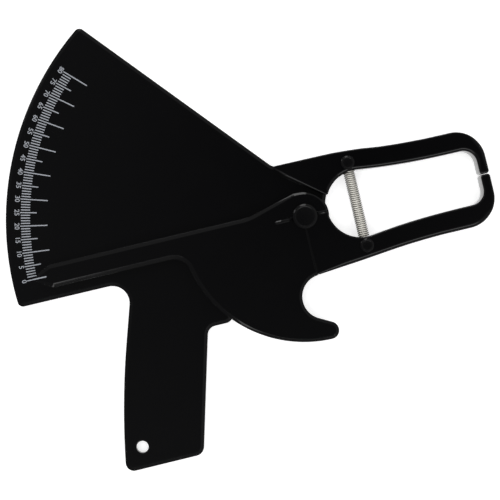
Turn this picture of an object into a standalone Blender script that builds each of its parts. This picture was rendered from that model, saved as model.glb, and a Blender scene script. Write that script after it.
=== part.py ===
"""Skinfold caliper: a moulded frame with a scale sector, and a sprung lever with pointer and trigger.

The caliper lies on its back. The origin is on the pivot's axis at the flat back, +X runs from the pivot to
the jaw tips and +Z points out of the front. Lengths are in metres and angles in degrees.
"""

import math

import bmesh
import bpy
from mathutils import Vector

# Layers, counted up from the flat back
PLATE_THICKNESS = 0.0055
WASHER_THICKNESS = 0.0006
ARM_DEPTH = 0.0140
LEVER_STEP = 0.0010
RIB_PROUD = 0.0001

# Clearances and finish
CLEARANCE = 0.0003
OVERRUN = 0.0010
EDGE_RADIUS = 0.0018
FACET_ERROR = 0.00005
SETBACK = 0.0003

# Opening between the arms
ROOT_RADIUS = 0.0197
ROOT_X = 0.0331
JAW_HALF_OPENING = 0.0160
INNER_CORNER_RADIUS = 0.0080
ROOT_EXIT_ANGLE = 83
INNER_TAPER_POWER = 2.4

# Jaw arms
JAW_REACH = 0.1100
JAW_WALL = 0.0055
TIP_RADIUS = 0.0017
OUTER_CORNER_RADIUS = 0.0175
UPPER_ARM_WIDTH = 0.0118
LOWER_ARM_WIDTH = 0.0127
ARM_ROOT_X = 0.0170
UPPER_ROOT_RISE = 0.00465
LOWER_ROOT_RISE = 0.00465

# Upper arm's root on the frame, whose step runs past the hub
STEP_DISTANCE = 0.0180
STEP_ANGLE = 142.9
STEP_CORNER_RADIUS = 0.0015
STEP_KINK_X = -0.0062
STEP_KINK_RADIUS = 0.0100
NECK_X = -0.0112
NECK_RADIUS = 0.0120
NECK_LENGTH = 0.0060
WEDGE_RADIUS = 0.0010
HIDDEN_END_X = 0.0020

# Scale sector
SECTOR_RADIUS = 0.1725
SECTOR_CENTRE_X = -0.0032
SECTOR_CENTRE_Y = -0.0013
SECTOR_TOP_ANGLE = 130.88
SECTOR_BOTTOM_Y = -0.0135
SECTOR_CORNER_RADIUS = 0.0032

# Grip
GRIP_TOP_LEFT_X = -0.1076
GRIP_TOP_RIGHT_X = -0.0700
GRIP_SHOULDER_Y = -0.0503
GRIP_BOTTOM_LEFT_Y = -0.1224
GRIP_BOTTOM_RIGHT_Y = -0.1220
GRIP_BOTTOM_RIGHT_X = -0.0895
GRIP_SIDE_ANGLE = 72.2
GRIP_FOOT_ANGLE = 80
GRIP_BOW_START_Y = -0.0476
GRIP_BOW_RADIUS = 0.5
GRIP_ROOT_RADIUS = 0.0100
GRIP_LEFT_RADIUS = 0.0049
GRIP_RIGHT_RADIUS = 0.0055
SHOULDER_RADIUS = 0.0055
HANGING_HOLE_RADIUS = 0.0035
HANGING_HOLE_X = -0.1235
HANGING_HOLE_Y = -0.1096

# Hub plate of the frame, with the edge that stops the lever
HUB_PLATE_RADIUS = 0.0160
STOP_ANGLE = -138.6
HUB_FILLET_RADIUS = 0.0030

# Lever: hub, pointer and trigger
HUB_RADIUS = 0.0138
NECK_ANGLE = 14.7
NECK_BLEND_RADIUS = 0.0300
POINTER_TOP_Y = 0.0057
POINTER_BOTTOM_Y = -0.0044
POINTER_SHOULDER_X = -0.1510
POINTER_TIP_X = -0.1600
POINTER_TIP_Y = 0.0004
POINTER_TIP_RADIUS = 0.0008
POINTER_CORNER_RADIUS = 0.0022
TRIGGER_RADIUS = 0.0730
TRIGGER_ROOT_RADIUS = 0.0100
HOOK_ANGLE = -90.7
HOOK_END_RADIUS = 0.0051
NOTCH_RADIUS = 0.0130
NOTCH_X = 0.0005
NOTCH_Y = -0.0480
NOTCH_EXIT_ANGLE = 94.7
NOTCH_TURN_ANGLE = 30

# Lever: raised half of the hub and the relief behind it
RAISED_EDGE_X = -0.0010
RELIEF_EDGE_X = 0.0008
RELIEF_RADIUS = 0.0172
RIB_WIDTH = 0.0020
RIB_START_X = -0.0180
INSIDE_ANGLES = (-42, -26)

# Pivot
PIN_RADIUS = 0.0040
PIN_HEAD_RADIUS = 0.00715
PIN_HEAD_HEIGHT = 0.0015
PIN_EDGE_RADIUS = 0.0012
WASHER_RADIUS = 0.0105
RETAINER_RADIUS = 0.0068
RETAINER_THICKNESS = 0.0008
RETAINER_DISH = 0.0005
PRONG_SLOT_WIDTH = 0.0009
PRONG_LENGTH = 0.0014
COUNTERBORE_DEPTH = 0.0022

# Spring and its pins
SPRING_X = 0.0311
SPRING_PIN_Y = 0.0246
SPRING_PIN_HEAD_RADIUS = 0.0040
SPRING_PIN_HEAD_HEIGHT = 0.0012
SPRING_PIN_EDGE_RADIUS = 0.0009
SPRING_RADIUS = 0.0028
WIRE_RADIUS = 0.00037
CURL_PITCH = 0.00119
CURL_COUNT = 33
SLOT_HALF_HEIGHT = 0.0038
SLOT_SWING = 0.0072
SLOT_RADIUS = 0.0012

# Counts and angles of the modelling
EDGE_STEPS = 3
SHARP_ANGLE = 35
CORNER_MARGIN_ANGLE = 8
CURL_POINTS = 9
LOOP_STEP_ANGLE = 20
LOOP_END_ANGLE = -40
TURN_STEPS = 40
PRONG_COUNT = 6

# Shares: along an arm from its root to the jaw's corner, and of the rise at its root
UPPER_TAPER_SHARES = ((0, 0.96), (0.12, 0.91), (0.30, 0.69), (0.44, 0.40), (0.60, 0.19), (0.80, 0.03))
LOWER_TAPER_SHARES = ((0, 1), (0.12, 0.83), (0.25, 0.61), (0.44, 0.30), (0.60, 0.12), (0.76, 0.01))
INNER_TAPER_SHARES = (0.10, 0.20, 0.34, 0.50, 0.70)
TIGHT_EDGE_SHARE = 0.75
FILLET_LIMIT_SHARE = 0.49

# Sizes that follow from the ones above
LEVER_BACK = PLATE_THICKNESS + CLEARANCE + WASHER_THICKNESS + CLEARANCE
LEVER_FRONT = ARM_DEPTH - LEVER_STEP
MID_DEPTH = ARM_DEPTH / 2
BORE_RADIUS = PIN_RADIUS + CLEARANCE
SHANK_RADIUS = SPRING_RADIUS - WIRE_RADIUS - CLEARANCE
COUNTERBORE_RADIUS = RETAINER_RADIUS + CLEARANCE


def point_at(centre, radius, angle):
    """The point at an angle on a circle."""
    turn = math.radians(angle)
    return Vector((centre[0] + radius * math.cos(turn), centre[1] + radius * math.sin(turn)))


def arc(centre, radius, start, end):
    """Points along an arc, as many as keep each chord within the facet error."""
    step = 2 * math.degrees(math.acos(1 - min(1, FACET_ERROR / radius)))
    count = max(2, math.ceil(abs(end - start) / step))
    return [point_at(centre, radius, start + (end - start) * i / count) for i in range(count + 1)]


def plain(points):
    """Corners that keep no fillet."""
    return [(Vector(point), 0) for point in points]


def mirrored(corners):
    """The same corners below the X axis, still counter-clockwise."""
    return [(Vector((point[0], -point[1])), radius) for point, radius in reversed(corners)]


def fillet(corners, i):
    """The centre, radius, first angle and sweep of the arc at one corner, limited by its shorter side."""
    corner, radius = corners[i]
    back = corners[i - 1][0] - corner
    ahead = corners[(i + 1) % len(corners)][0] - corner
    half = back.angle(ahead) / 2
    reach = min(radius / math.tan(half), FILLET_LIMIT_SHARE * min(back.length, ahead.length))
    radius = reach * math.tan(half)
    middle = (back.normalized() + ahead.normalized()).normalized()
    centre = corner + middle * (radius / math.sin(half))
    start = corner + back.normalized() * reach - centre
    end = corner + ahead.normalized() * reach - centre
    first = math.degrees(math.atan2(start[1], start[0]))
    sweep = math.degrees(math.atan2(start.cross(end), start.dot(end)))
    return centre, radius, first, sweep


def rounded(corners):
    """A closed counter-clockwise outline with filleted corners, and its outer fillets as circles."""
    corners = [(Vector(corner), radius) for corner, radius in corners]
    outline = []
    circles = []
    for i, (corner, radius) in enumerate(corners):
        if radius == 0:
            outline.append(corner)
            continue
        centre, radius, first, sweep = fillet(corners, i)
        outline.extend(arc(centre, radius, first, first + sweep))
        if sweep > 0:
            circles.append((centre, radius))
    return outline, circles


def outward(outline):
    """For each point, the direction out of a counter-clockwise outline, as long as a mitre needs."""
    directions = []
    for i, point in enumerate(outline):
        before = (point - outline[i - 1]).normalized()
        after = (outline[(i + 1) % len(outline)] - point).normalized()
        middle = Vector((before[1] + after[1], -before[0] - after[0])).normalized()
        directions.append(middle / max(middle.dot(Vector((after[1], -after[0]))), FILLET_LIMIT_SHARE))
    return directions


def slab(corners, bottom, top, edge=0):
    """A plate between two heights, with rounded edges that shrink where an outer corner is tighter."""
    outline, circles = rounded(corners)
    normals = outward(outline)
    radii = []
    for point in outline:
        limits = [TIGHT_EDGE_SHARE * radius + (point - centre).length - radius for centre, radius in circles]
        radii.append(min([edge] + limits))
    turns = [math.pi / 2]
    if edge:
        turns = [math.pi / 2 * step / EDGE_STEPS for step in range(EDGE_STEPS + 1)]
    rings = []
    for face, way, order in ((bottom, 1, turns), (top, -1, turns[::-1])):
        for turn in order:
            ring = []
            for point, normal, radius in zip(outline, normals, radii):
                place = point - normal * radius * (1 - math.sin(turn))
                ring.append((place[0], place[1], face + way * radius * (1 - math.cos(turn))))
            rings.append(ring)
    return skin(rings)


def skin(rings, closed_ends=True):
    """A mesh through rings of equal length, with flat ends or joined end to end."""
    shape = bmesh.new()
    loops = [[shape.verts.new(place) for place in ring] for ring in rings]
    pairs = list(zip(loops, loops[1:]))
    if closed_ends:
        shape.faces.new(loops[0][::-1])
        shape.faces.new(loops[-1])
    else:
        pairs.append((loops[-1], loops[0]))
    for low, high in pairs:
        for i in range(len(low)):
            shape.faces.new((low[i - 1], low[i], high[i], high[i - 1]))
    bmesh.ops.recalc_face_normals(shape, faces=shape.faces)
    mesh = bpy.data.meshes.new("shape")
    shape.to_mesh(mesh)
    shape.free()
    mesh.shade_smooth()
    mesh.set_sharp_from_angle(angle=math.radians(SHARP_ANGLE))
    return mesh


def turned(profile, centre=(0, 0)):
    """A turned piece from (radius, height) points, a ring unless its ends lie on the axis."""
    on_axis = profile[0][0] == 0
    if on_axis:
        profile = profile[1:-1]
    rings = []
    for radius, height in profile:
        circle = [point_at(centre, radius, 360 * i / TURN_STEPS) for i in range(TURN_STEPS)]
        rings.append([(place[0], place[1], height) for place in circle])
    return skin(rings, closed_ends=on_axis)


def material(name, colour, roughness, metallic=0):
    """A Principled material, from linear colour."""
    finish = bpy.data.materials.new(name)
    finish.use_nodes = True
    shader = finish.node_tree.nodes["Principled BSDF"]
    shader.inputs["Base Color"].default_value = (*colour, 1)
    shader.inputs["Roughness"].default_value = roughness
    shader.inputs["Metallic"].default_value = metallic
    return finish


def add_object(name, data, finish=None):
    """A named object in the scene."""
    piece = bpy.data.objects.new(name, data)
    bpy.context.scene.collection.objects.link(piece)
    if finish:
        data.materials.append(finish)
    return piece


def add_tool(name, data):
    """A shape that only cuts or builds up another one."""
    tool = add_object(name, data)
    tool.hide_render = True
    tool.display_type = "WIRE"
    return tool


def combine(piece, tool, operation):
    """Unite a piece with a tool, or cut it with the tool."""
    step = piece.modifiers.new(tool.name, "BOOLEAN")
    step.solver = "EXACT"
    step.operation = operation
    step.object = tool


def hole(name, centre, radius, bottom, top):
    """A round cutter along Z."""
    return add_tool(name, turned([(0, bottom), (radius, bottom), (radius, top), (0, top)], centre))


def line_meets_circle(start, angle, centre, radius):
    """Where a ray at an angle from a point inside a circle leaves the circle."""
    way = point_at((0, 0), 1, angle)
    offset = Vector(start) - Vector(centre)
    along = offset.dot(way)
    distance = -along + math.sqrt(along * along - offset.length_squared + radius * radius)
    return Vector(start) + way * distance


def meeting_angle(radius, other_radius, distance):
    """How far round a circle, from the line of centres, another circle meets it."""
    share = (radius ** 2 + distance ** 2 - other_radius ** 2) / (2 * radius * distance)
    return math.degrees(math.acos(share))


def arm_corners(root_angle, width, root_rise, taper_shares):
    """An arm above the X axis, from a place on the opening's root, round the jaw, to its outer root."""
    root_centre = (ROOT_X, 0)
    inner_x = JAW_REACH - JAW_WALL - INNER_CORNER_RADIUS
    inner_start = point_at(root_centre, ROOT_RADIUS, ROOT_EXIT_ANGLE)
    inner_rise = inner_start[1] - JAW_HALF_OPENING
    corners = plain(arc(root_centre, ROOT_RADIUS, root_angle, ROOT_EXIT_ANGLE))
    for share in INNER_TAPER_SHARES:
        x = inner_start[0] + (inner_x - inner_start[0]) * share
        corners += plain([(x, JAW_HALF_OPENING + inner_rise * (1 - share) ** INNER_TAPER_POWER)])
    inner_centre = (inner_x, JAW_HALF_OPENING - INNER_CORNER_RADIUS)
    corners += plain(arc(inner_centre, INNER_CORNER_RADIUS, 90, 0))
    corners += [((JAW_REACH - JAW_WALL, CLEARANCE / 2), TIP_RADIUS), ((JAW_REACH, CLEARANCE / 2), TIP_RADIUS)]
    outer_x = JAW_REACH - OUTER_CORNER_RADIUS
    outer_y = JAW_HALF_OPENING + width
    corners += plain(arc((outer_x, outer_y - OUTER_CORNER_RADIUS), OUTER_CORNER_RADIUS, 0, 90))
    for along, rise in reversed(taper_shares):
        x = ARM_ROOT_X + (outer_x - ARM_ROOT_X) * along
        corners += plain([(x, outer_y + root_rise * rise)])
    return corners


def cut_spring_seat(arm, side, name):
    """The slot that the spring's loop goes into, and the bore for its pin, in one arm."""
    inner_y = JAW_HALF_OPENING - SLOT_HALF_HEIGHT
    outer_y = SPRING_PIN_Y + SPRING_RADIUS + WIRE_RADIUS + 2 * CLEARANCE
    far_x = SPRING_X + SPRING_RADIUS + WIRE_RADIUS + 2 * CLEARANCE
    corners = [
        ((SPRING_X - SLOT_SWING, side * inner_y), SLOT_RADIUS),
        ((far_x, side * inner_y), SLOT_RADIUS),
        ((far_x, side * outer_y), SLOT_RADIUS),
        ((SPRING_X - SLOT_SWING, side * outer_y), SLOT_RADIUS),
    ]
    if side < 0:
        corners.reverse()
    low = MID_DEPTH - SLOT_HALF_HEIGHT
    high = MID_DEPTH + SLOT_HALF_HEIGHT
    combine(arm, add_tool(name + "_slot_cutter", slab(corners, low, high)), "DIFFERENCE")
    centre = (SPRING_X, side * SPRING_PIN_Y)
    bore = hole(name + "_bore_cutter", centre, SHANK_RADIUS + CLEARANCE, -OVERRUN, ARM_DEPTH + OVERRUN)
    combine(arm, bore, "DIFFERENCE")


def plate_corners():
    """The frame's plate: sector, grip and hub, ending inside the upper arm's block."""
    sector_centre = (SECTOR_CENTRE_X, SECTOR_CENTRE_Y)
    outer_y = JAW_HALF_OPENING + UPPER_ARM_WIDTH + UPPER_ROOT_RISE
    neck = Vector((NECK_X, outer_y))
    rim_top = line_meets_circle(neck, SECTOR_TOP_ANGLE, sector_centre, SECTOR_RADIUS)
    rim_bottom = line_meets_circle((0, SECTOR_BOTTOM_Y), 180, sector_centre, SECTOR_RADIUS)
    top_angle = math.degrees((rim_top - Vector(sector_centre)).angle_signed(Vector((1, 0))))
    bottom_drop = math.asin((SECTOR_CENTRE_Y - SECTOR_BOTTOM_Y) / SECTOR_RADIUS)
    bottom_angle = 180 + math.degrees(bottom_drop)
    corners = [(rim_top, SECTOR_CORNER_RADIUS)]
    corners += plain(arc(sector_centre, SECTOR_RADIUS, top_angle, bottom_angle)[1:-1])
    corners += [(rim_bottom, SECTOR_CORNER_RADIUS)]

    grip_top = Vector((GRIP_TOP_LEFT_X, SECTOR_BOTTOM_Y))
    side_way = point_at((0, 0), 1, GRIP_SIDE_ANGLE)
    bow_start = grip_top + side_way * ((GRIP_BOW_START_Y - SECTOR_BOTTOM_Y) / side_way[1])
    bow_centre = bow_start - point_at((0, 0), GRIP_BOW_RADIUS, GRIP_SIDE_ANGLE + 90)
    bow = arc(bow_centre, GRIP_BOW_RADIUS, GRIP_SIDE_ANGLE + 90, GRIP_FOOT_ANGLE + 90)
    foot_way = point_at((0, 0), 1, GRIP_FOOT_ANGLE)
    grip_bottom = bow[-1] + foot_way * ((GRIP_BOTTOM_LEFT_Y - bow[-1][1]) / foot_way[1])
    corners += [(grip_top, GRIP_ROOT_RADIUS)]
    corners += plain(bow[:-1])
    stop_way = point_at((0, 0), 1, STOP_ANGLE)
    corners += [
        (grip_bottom, GRIP_LEFT_RADIUS),
        ((GRIP_BOTTOM_RIGHT_X, GRIP_BOTTOM_RIGHT_Y), GRIP_RIGHT_RADIUS),
        ((GRIP_TOP_RIGHT_X, GRIP_SHOULDER_Y), SHOULDER_RADIUS),
        (stop_way * (GRIP_SHOULDER_Y / stop_way[1]), SHOULDER_RADIUS),
        (stop_way * HUB_PLATE_RADIUS, HUB_FILLET_RADIUS),
    ]
    fillet_turn = math.degrees(math.asin(2 * HUB_FILLET_RADIUS / HUB_PLATE_RADIUS))
    root = ROOT_RADIUS + SETBACK
    hub_turn = meeting_angle(HUB_PLATE_RADIUS, root, ROOT_X)
    root_turn = meeting_angle(root, HUB_PLATE_RADIUS, ROOT_X) - CORNER_MARGIN_ANGLE
    hub_end = -hub_turn - CORNER_MARGIN_ANGLE
    corners += plain(arc((0, 0), HUB_PLATE_RADIUS, STOP_ANGLE + fillet_turn, hub_end))
    corners += [(point_at((0, 0), HUB_PLATE_RADIUS, -hub_turn), EDGE_RADIUS)]
    corners += plain(arc((ROOT_X, 0), root, 180 + root_turn, STEP_ANGLE))
    hidden_y = outer_y - 2 * EDGE_RADIUS
    corners += plain([(SPRING_X - SLOT_SWING, hidden_y), (HIDDEN_END_X, hidden_y + EDGE_RADIUS / 2)])
    corners += plain([(NECK_X + NECK_LENGTH, outer_y - 2 * SETBACK)])
    corners += [(neck, NECK_RADIUS)]
    return corners


def build_frame(finish):
    """The frame: a flat plate united with the thick block of the upper arm."""
    frame = add_object("frame", slab(plate_corners(), 0, PLATE_THICKNESS, EDGE_RADIUS), finish)
    root_centre = Vector((ROOT_X, 0))
    foot = point_at((0, 0), STEP_DISTANCE, STEP_ANGLE - 90)
    step_way = point_at((0, 0), 1, STEP_ANGLE)
    outer_y = JAW_HALF_OPENING + UPPER_ARM_WIDTH + UPPER_ROOT_RISE
    kink = foot + step_way * ((STEP_KINK_X - foot[0]) / step_way[0])
    top_way = point_at((0, 0), 1, SECTOR_TOP_ANGLE)
    wedge = kink + top_way * ((outer_y - kink[1]) / top_way[1])
    nearest = foot + step_way * step_way.dot(root_centre - foot)
    root = line_meets_circle(nearest, STEP_ANGLE, root_centre, ROOT_RADIUS)
    root_angle = math.degrees(math.atan2(root[1], root[0] - ROOT_X)) - CORNER_MARGIN_ANGLE
    corners = [(wedge, WEDGE_RADIUS), (kink, STEP_KINK_RADIUS), (root, STEP_CORNER_RADIUS)]
    corners += arm_corners(root_angle, UPPER_ARM_WIDTH, UPPER_ROOT_RISE, UPPER_TAPER_SHARES)
    block = slab(corners, 0, ARM_DEPTH, EDGE_RADIUS)
    combine(frame, add_tool("upper_arm_block", block), "UNION")
    combine(frame, hole("frame_bore_cutter", (0, 0), BORE_RADIUS, -OVERRUN, ARM_DEPTH), "DIFFERENCE")
    recess = hole("counterbore_cutter", (0, 0), COUNTERBORE_RADIUS, -OVERRUN, COUNTERBORE_DEPTH)
    combine(frame, recess, "DIFFERENCE")
    hanging = (HANGING_HOLE_X, HANGING_HOLE_Y)
    hanging_hole = hole("hanging_hole_cutter", hanging, HANGING_HOLE_RADIUS, -OVERRUN, ARM_DEPTH)
    combine(frame, hanging_hole, "DIFFERENCE")
    cut_spring_seat(frame, 1, "upper")
    return frame


def hook_and_notch():
    """Centres of the hook's round end and of the finger notch, and the radius that leaves the hook whole."""
    hook = point_at((0, 0), TRIGGER_RADIUS - HOOK_END_RADIUS, HOOK_ANGLE)
    notch = Vector((NOTCH_X, NOTCH_Y))
    room = (notch - hook).length - HOOK_END_RADIUS - CLEARANCE
    return hook, notch, min(NOTCH_RADIUS, room)


def lever_corners():
    """The lever's plate: hub, pointer and trigger, ending inside the lower arm's block."""
    tangent = NECK_ANGLE + 90
    neck_foot = point_at((0, 0), HUB_RADIUS, tangent)
    neck_x = neck_foot[0] - (neck_foot[1] - POINTER_TOP_Y) / math.tan(math.radians(NECK_ANGLE))
    corners = plain(arc((0, 0), HUB_RADIUS, -meeting_angle(HUB_RADIUS, ROOT_RADIUS, ROOT_X), tangent))
    corners += [
        ((neck_x, POINTER_TOP_Y), NECK_BLEND_RADIUS),
        ((POINTER_SHOULDER_X, POINTER_TOP_Y), POINTER_CORNER_RADIUS),
        ((POINTER_TIP_X, POINTER_TIP_Y), POINTER_TIP_RADIUS),
        ((POINTER_SHOULDER_X, POINTER_BOTTOM_Y), POINTER_CORNER_RADIUS),
    ]
    blend_y = POINTER_BOTTOM_Y - TRIGGER_ROOT_RADIUS
    blend_reach = TRIGGER_RADIUS + TRIGGER_ROOT_RADIUS
    blend_turn = math.degrees(math.asin(-blend_y / blend_reach))
    blend_centre = (-blend_reach * math.cos(math.radians(blend_turn)), blend_y)
    corners += plain(arc(blend_centre, TRIGGER_ROOT_RADIUS, 90, blend_turn)[:-1])
    corners += plain(arc((0, 0), TRIGGER_RADIUS, blend_turn - 180, HOOK_ANGLE)[:-1])
    hook, notch, notch_radius = hook_and_notch()
    between = notch - hook
    lean = math.degrees(math.acos((HOOK_END_RADIUS + notch_radius) / between.length))
    facing = math.degrees(math.atan2(between[1], between[0])) - lean
    corners += plain(arc(hook, HOOK_END_RADIUS, HOOK_ANGLE, facing))
    corners += plain(arc(notch, notch_radius, facing - 180, NOTCH_EXIT_ANGLE - 360))
    exit_point = point_at(notch, notch_radius, NOTCH_EXIT_ANGLE)
    exit_way = point_at((0, 0), 1, NOTCH_TURN_ANGLE)
    inside_y = JAW_HALF_OPENING + LOWER_ARM_WIDTH
    corners += plain([exit_point + exit_way * 2 * EDGE_RADIUS])
    corners += plain([(HUB_RADIUS / 2, -inside_y), (SPRING_X - SLOT_SWING, -inside_y + EDGE_RADIUS)])
    for radius, angle in zip((RELIEF_RADIUS + 2 * EDGE_RADIUS, HUB_RADIUS), INSIDE_ANGLES):
        corners += plain([point_at((0, 0), radius, angle)])
    return corners


def build_lever(finish):
    """The lever: a plate united with the lower arm's block, which is relieved behind for the frame's hub."""
    plate = slab(lever_corners(), LEVER_BACK, LEVER_FRONT, EDGE_RADIUS)
    lever = add_object("lever", plate, finish)

    under_rib = RIB_WIDTH / 4
    _, notch, notch_radius = hook_and_notch()
    notch_top = point_at(notch, notch_radius, NOTCH_EXIT_ANGLE)[1] + SETBACK / 3
    corners = [((RAISED_EDGE_X, under_rib), under_rib), ((ROOT_X - ROOT_RADIUS, under_rib), under_rib)]
    corners += arm_corners(180 - CORNER_MARGIN_ANGLE, LOWER_ARM_WIDTH, LOWER_ROOT_RISE, LOWER_TAPER_SHARES)
    corners += [((RAISED_EDGE_X, -notch_top), EDGE_RADIUS)]
    arm = add_tool("lower_arm_block", slab(mirrored(corners), 0, ARM_DEPTH, EDGE_RADIUS))
    relief_angle = -math.degrees(math.acos(RELIEF_EDGE_X / RELIEF_RADIUS))
    relief = plain(arc((0, 0), RELIEF_RADIUS, relief_angle, 0))
    relief += plain([(RELIEF_RADIUS, RELIEF_RADIUS), (-RELIEF_RADIUS, RELIEF_RADIUS)])
    relief += plain([(-RELIEF_RADIUS, NOTCH_Y), (RELIEF_EDGE_X, NOTCH_Y)])
    relief_top = LEVER_BACK + SETBACK
    relief_cutter = add_tool("relief_cutter", slab(relief, -OVERRUN, relief_top))
    combine(arm, relief_cutter, "DIFFERENCE")
    combine(lever, arm, "UNION")

    rib_end = ROOT_X - ROOT_RADIUS - SETBACK
    half = RIB_WIDTH / 2
    rib = plain([(rib_end, -half), (rib_end, half)])
    rib += plain(arc((RIB_START_X + half, 0), half, 90, 270))
    rib_shape = slab(rib, LEVER_BACK + OVERRUN, ARM_DEPTH + RIB_PROUD, SETBACK)
    combine(lever, add_tool("rib_block", rib_shape), "UNION")
    combine(lever, hole("lever_bore_cutter", (0, 0), BORE_RADIUS, 0, ARM_DEPTH + OVERRUN), "DIFFERENCE")
    cut_spring_seat(lever, -1, "lower")
    return lever


def headed_pin(radius, head_radius, head_height, edge_radius, seat, end, centre=(0, 0)):
    """A pin with a round-edged head that stands on its seat."""
    top = seat + head_height
    profile = [(0, end), (radius, end), (radius, seat), (head_radius, seat)]
    for step in range(EDGE_STEPS + 1):
        place = point_at((head_radius - edge_radius, top - edge_radius), edge_radius, 90 * step / EDGE_STEPS)
        profile.append((place[0], place[1]))
    profile.append((0, top))
    return turned(profile, centre)


def build_pivot(black, steel):
    """The pivot: headed pin, washer between the plates and push-on ring in the back."""
    seat = ARM_DEPTH + RIB_PROUD + CLEARANCE
    pin = headed_pin(PIN_RADIUS, PIN_HEAD_RADIUS, PIN_HEAD_HEIGHT, PIN_EDGE_RADIUS, seat, 0)
    add_object("pivot_pin", pin, black)

    low = PLATE_THICKNESS + CLEARANCE
    high = low + WASHER_THICKNESS
    ring = [(BORE_RADIUS, low), (WASHER_RADIUS, low), (WASHER_RADIUS, high), (BORE_RADIUS, high)]
    add_object("pivot_washer", turned(ring), steel)

    top = COUNTERBORE_DEPTH - CLEARANCE
    inner_top = top - RETAINER_DISH
    dish = [
        (BORE_RADIUS, inner_top - RETAINER_THICKNESS),
        (RETAINER_RADIUS, top - RETAINER_THICKNESS),
        (RETAINER_RADIUS, top),
        (BORE_RADIUS, inner_top),
    ]
    retainer = add_object("pivot_retainer", turned(dish), steel)
    reach = BORE_RADIUS + PRONG_LENGTH
    half = PRONG_SLOT_WIDTH / 2
    for i in range(PRONG_COUNT // 2):
        way = point_at((0, 0), 1, 180 * i / (PRONG_COUNT // 2))
        across = Vector((-way[1], way[0])) * half
        bar = [way * reach - across, way * reach + across, -way * reach + across, -way * reach - across]
        cutter = add_tool("prong_cutter_%d" % i, slab(plain(bar), -OVERRUN, COUNTERBORE_DEPTH))
        combine(retainer, cutter, "DIFFERENCE")


def build_spring_pins(black):
    """The two pins that carry the spring's loops."""
    seat = ARM_DEPTH + CLEARANCE
    for name, side in (("upper_spring_pin", 1), ("lower_spring_pin", -1)):
        centre = (SPRING_X, side * SPRING_PIN_Y)
        head = (SPRING_PIN_HEAD_RADIUS, SPRING_PIN_HEAD_HEIGHT, SPRING_PIN_EDGE_RADIUS)
        add_object(name, headed_pin(SHANK_RADIUS, *head, seat, CLEARANCE, centre), black)


def spring_half():
    """Points from the middle of the spring to the end of its upper loop."""
    half_turns = CURL_COUNT / 2
    coil_end = half_turns * CURL_PITCH
    points = []
    for i in range(round(half_turns * CURL_POINTS) + 1):
        turn = i / CURL_POINTS
        angle = math.radians(90 + 360 * (turn - half_turns))
        across = Vector((math.cos(angle), 0, math.sin(angle))) * SPRING_RADIUS
        points.append(across + Vector((0, turn * CURL_PITCH, 0)))
    rise = SPRING_PIN_Y - coil_end - SPRING_RADIUS / 2
    for i in range(EDGE_STEPS):
        share = math.pi / 2 * (i + 1) / EDGE_STEPS
        angle = math.pi / 2 * (1 + math.sin(share))
        y = coil_end + rise * (1 - math.cos(share))
        across = Vector((math.cos(angle), 0, math.sin(angle))) * SPRING_RADIUS
        points.append(across + Vector((0, y, 0)))
    for angle in range(180, LOOP_END_ANGLE - 1, -LOOP_STEP_ANGLE):
        place = point_at((0, SPRING_PIN_Y), SPRING_RADIUS, angle)
        points.append(Vector((place[0], place[1], 0)))
    way = (points[-1] - points[-2]).normalized()
    points.append(points[-1] + way * 2 * WIRE_RADIUS)
    return points


def least_gap(points):
    """The least distance between the spring's own turns, from points a curl's half or more apart."""
    apart = CURL_POINTS // 2
    least = min(
        (points[i] - points[j]).length
        for i in range(len(points))
        for j in range(i + apart, min(len(points), i + 3 * CURL_POINTS))
    )
    return least - 2 * WIRE_RADIUS


def build_spring(finish):
    """The extension spring: one unbroken tube, coiled between two loops that go round the pins."""
    upper = spring_half()
    lower = [Vector((-point[0], -point[1], point[2])) for point in upper]
    points = lower[:0:-1] + upper
    curve = bpy.data.curves.new("tension_spring", "CURVE")
    curve.dimensions = "3D"
    curve.bevel_depth = WIRE_RADIUS
    curve.bevel_resolution = 1
    curve.use_fill_caps = True
    line = curve.splines.new("POLY")
    line.points.add(len(points) - 1)
    for place, point in zip(line.points, points):
        place.co = (*point, 1)
    spring = add_object("tension_spring", curve, finish)
    spring.location = (SPRING_X, 0, MID_DEPTH)
    print("Least gap of the spring to itself: %.3f mm" % (least_gap(points) * 1000))


def main():
    """Clear the scene and build every piece."""
    for old in list(bpy.data.objects):
        bpy.data.objects.remove(old, do_unlink=True)
    black = material("black_abs", (0.006, 0.006, 0.007), 0.22)
    pin_black = material("black_acetal", (0.007, 0.007, 0.008), 0.3)
    washer_steel = material("bright_steel", (0.55, 0.56, 0.57), 0.35, 1)
    nickel = material("nickel_plated_wire", (0.6, 0.59, 0.56), 0.25, 1)
    build_frame(black)
    build_lever(black)
    build_pivot(pin_black, washer_steel)
    build_spring_pins(pin_black)
    build_spring(nickel)


main()
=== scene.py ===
# %% [markdown]
# # A skinfold caliper in glossy black plastic
#
# The real caliper is two moulded plates of black ABS on one pivot. The frame carries a printed scale, a
# pistol grip and a thick jaw arm. The lever carries the pointer, the trigger and the other jaw arm, and a small
# tension spring closes the jaws. Everything is drawn in millimetres here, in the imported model's own frame: the
# origin is on the pivot's axis at the flat back, +X runs to the jaw tips and +Z points out of the front.

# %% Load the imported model
import math

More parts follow.
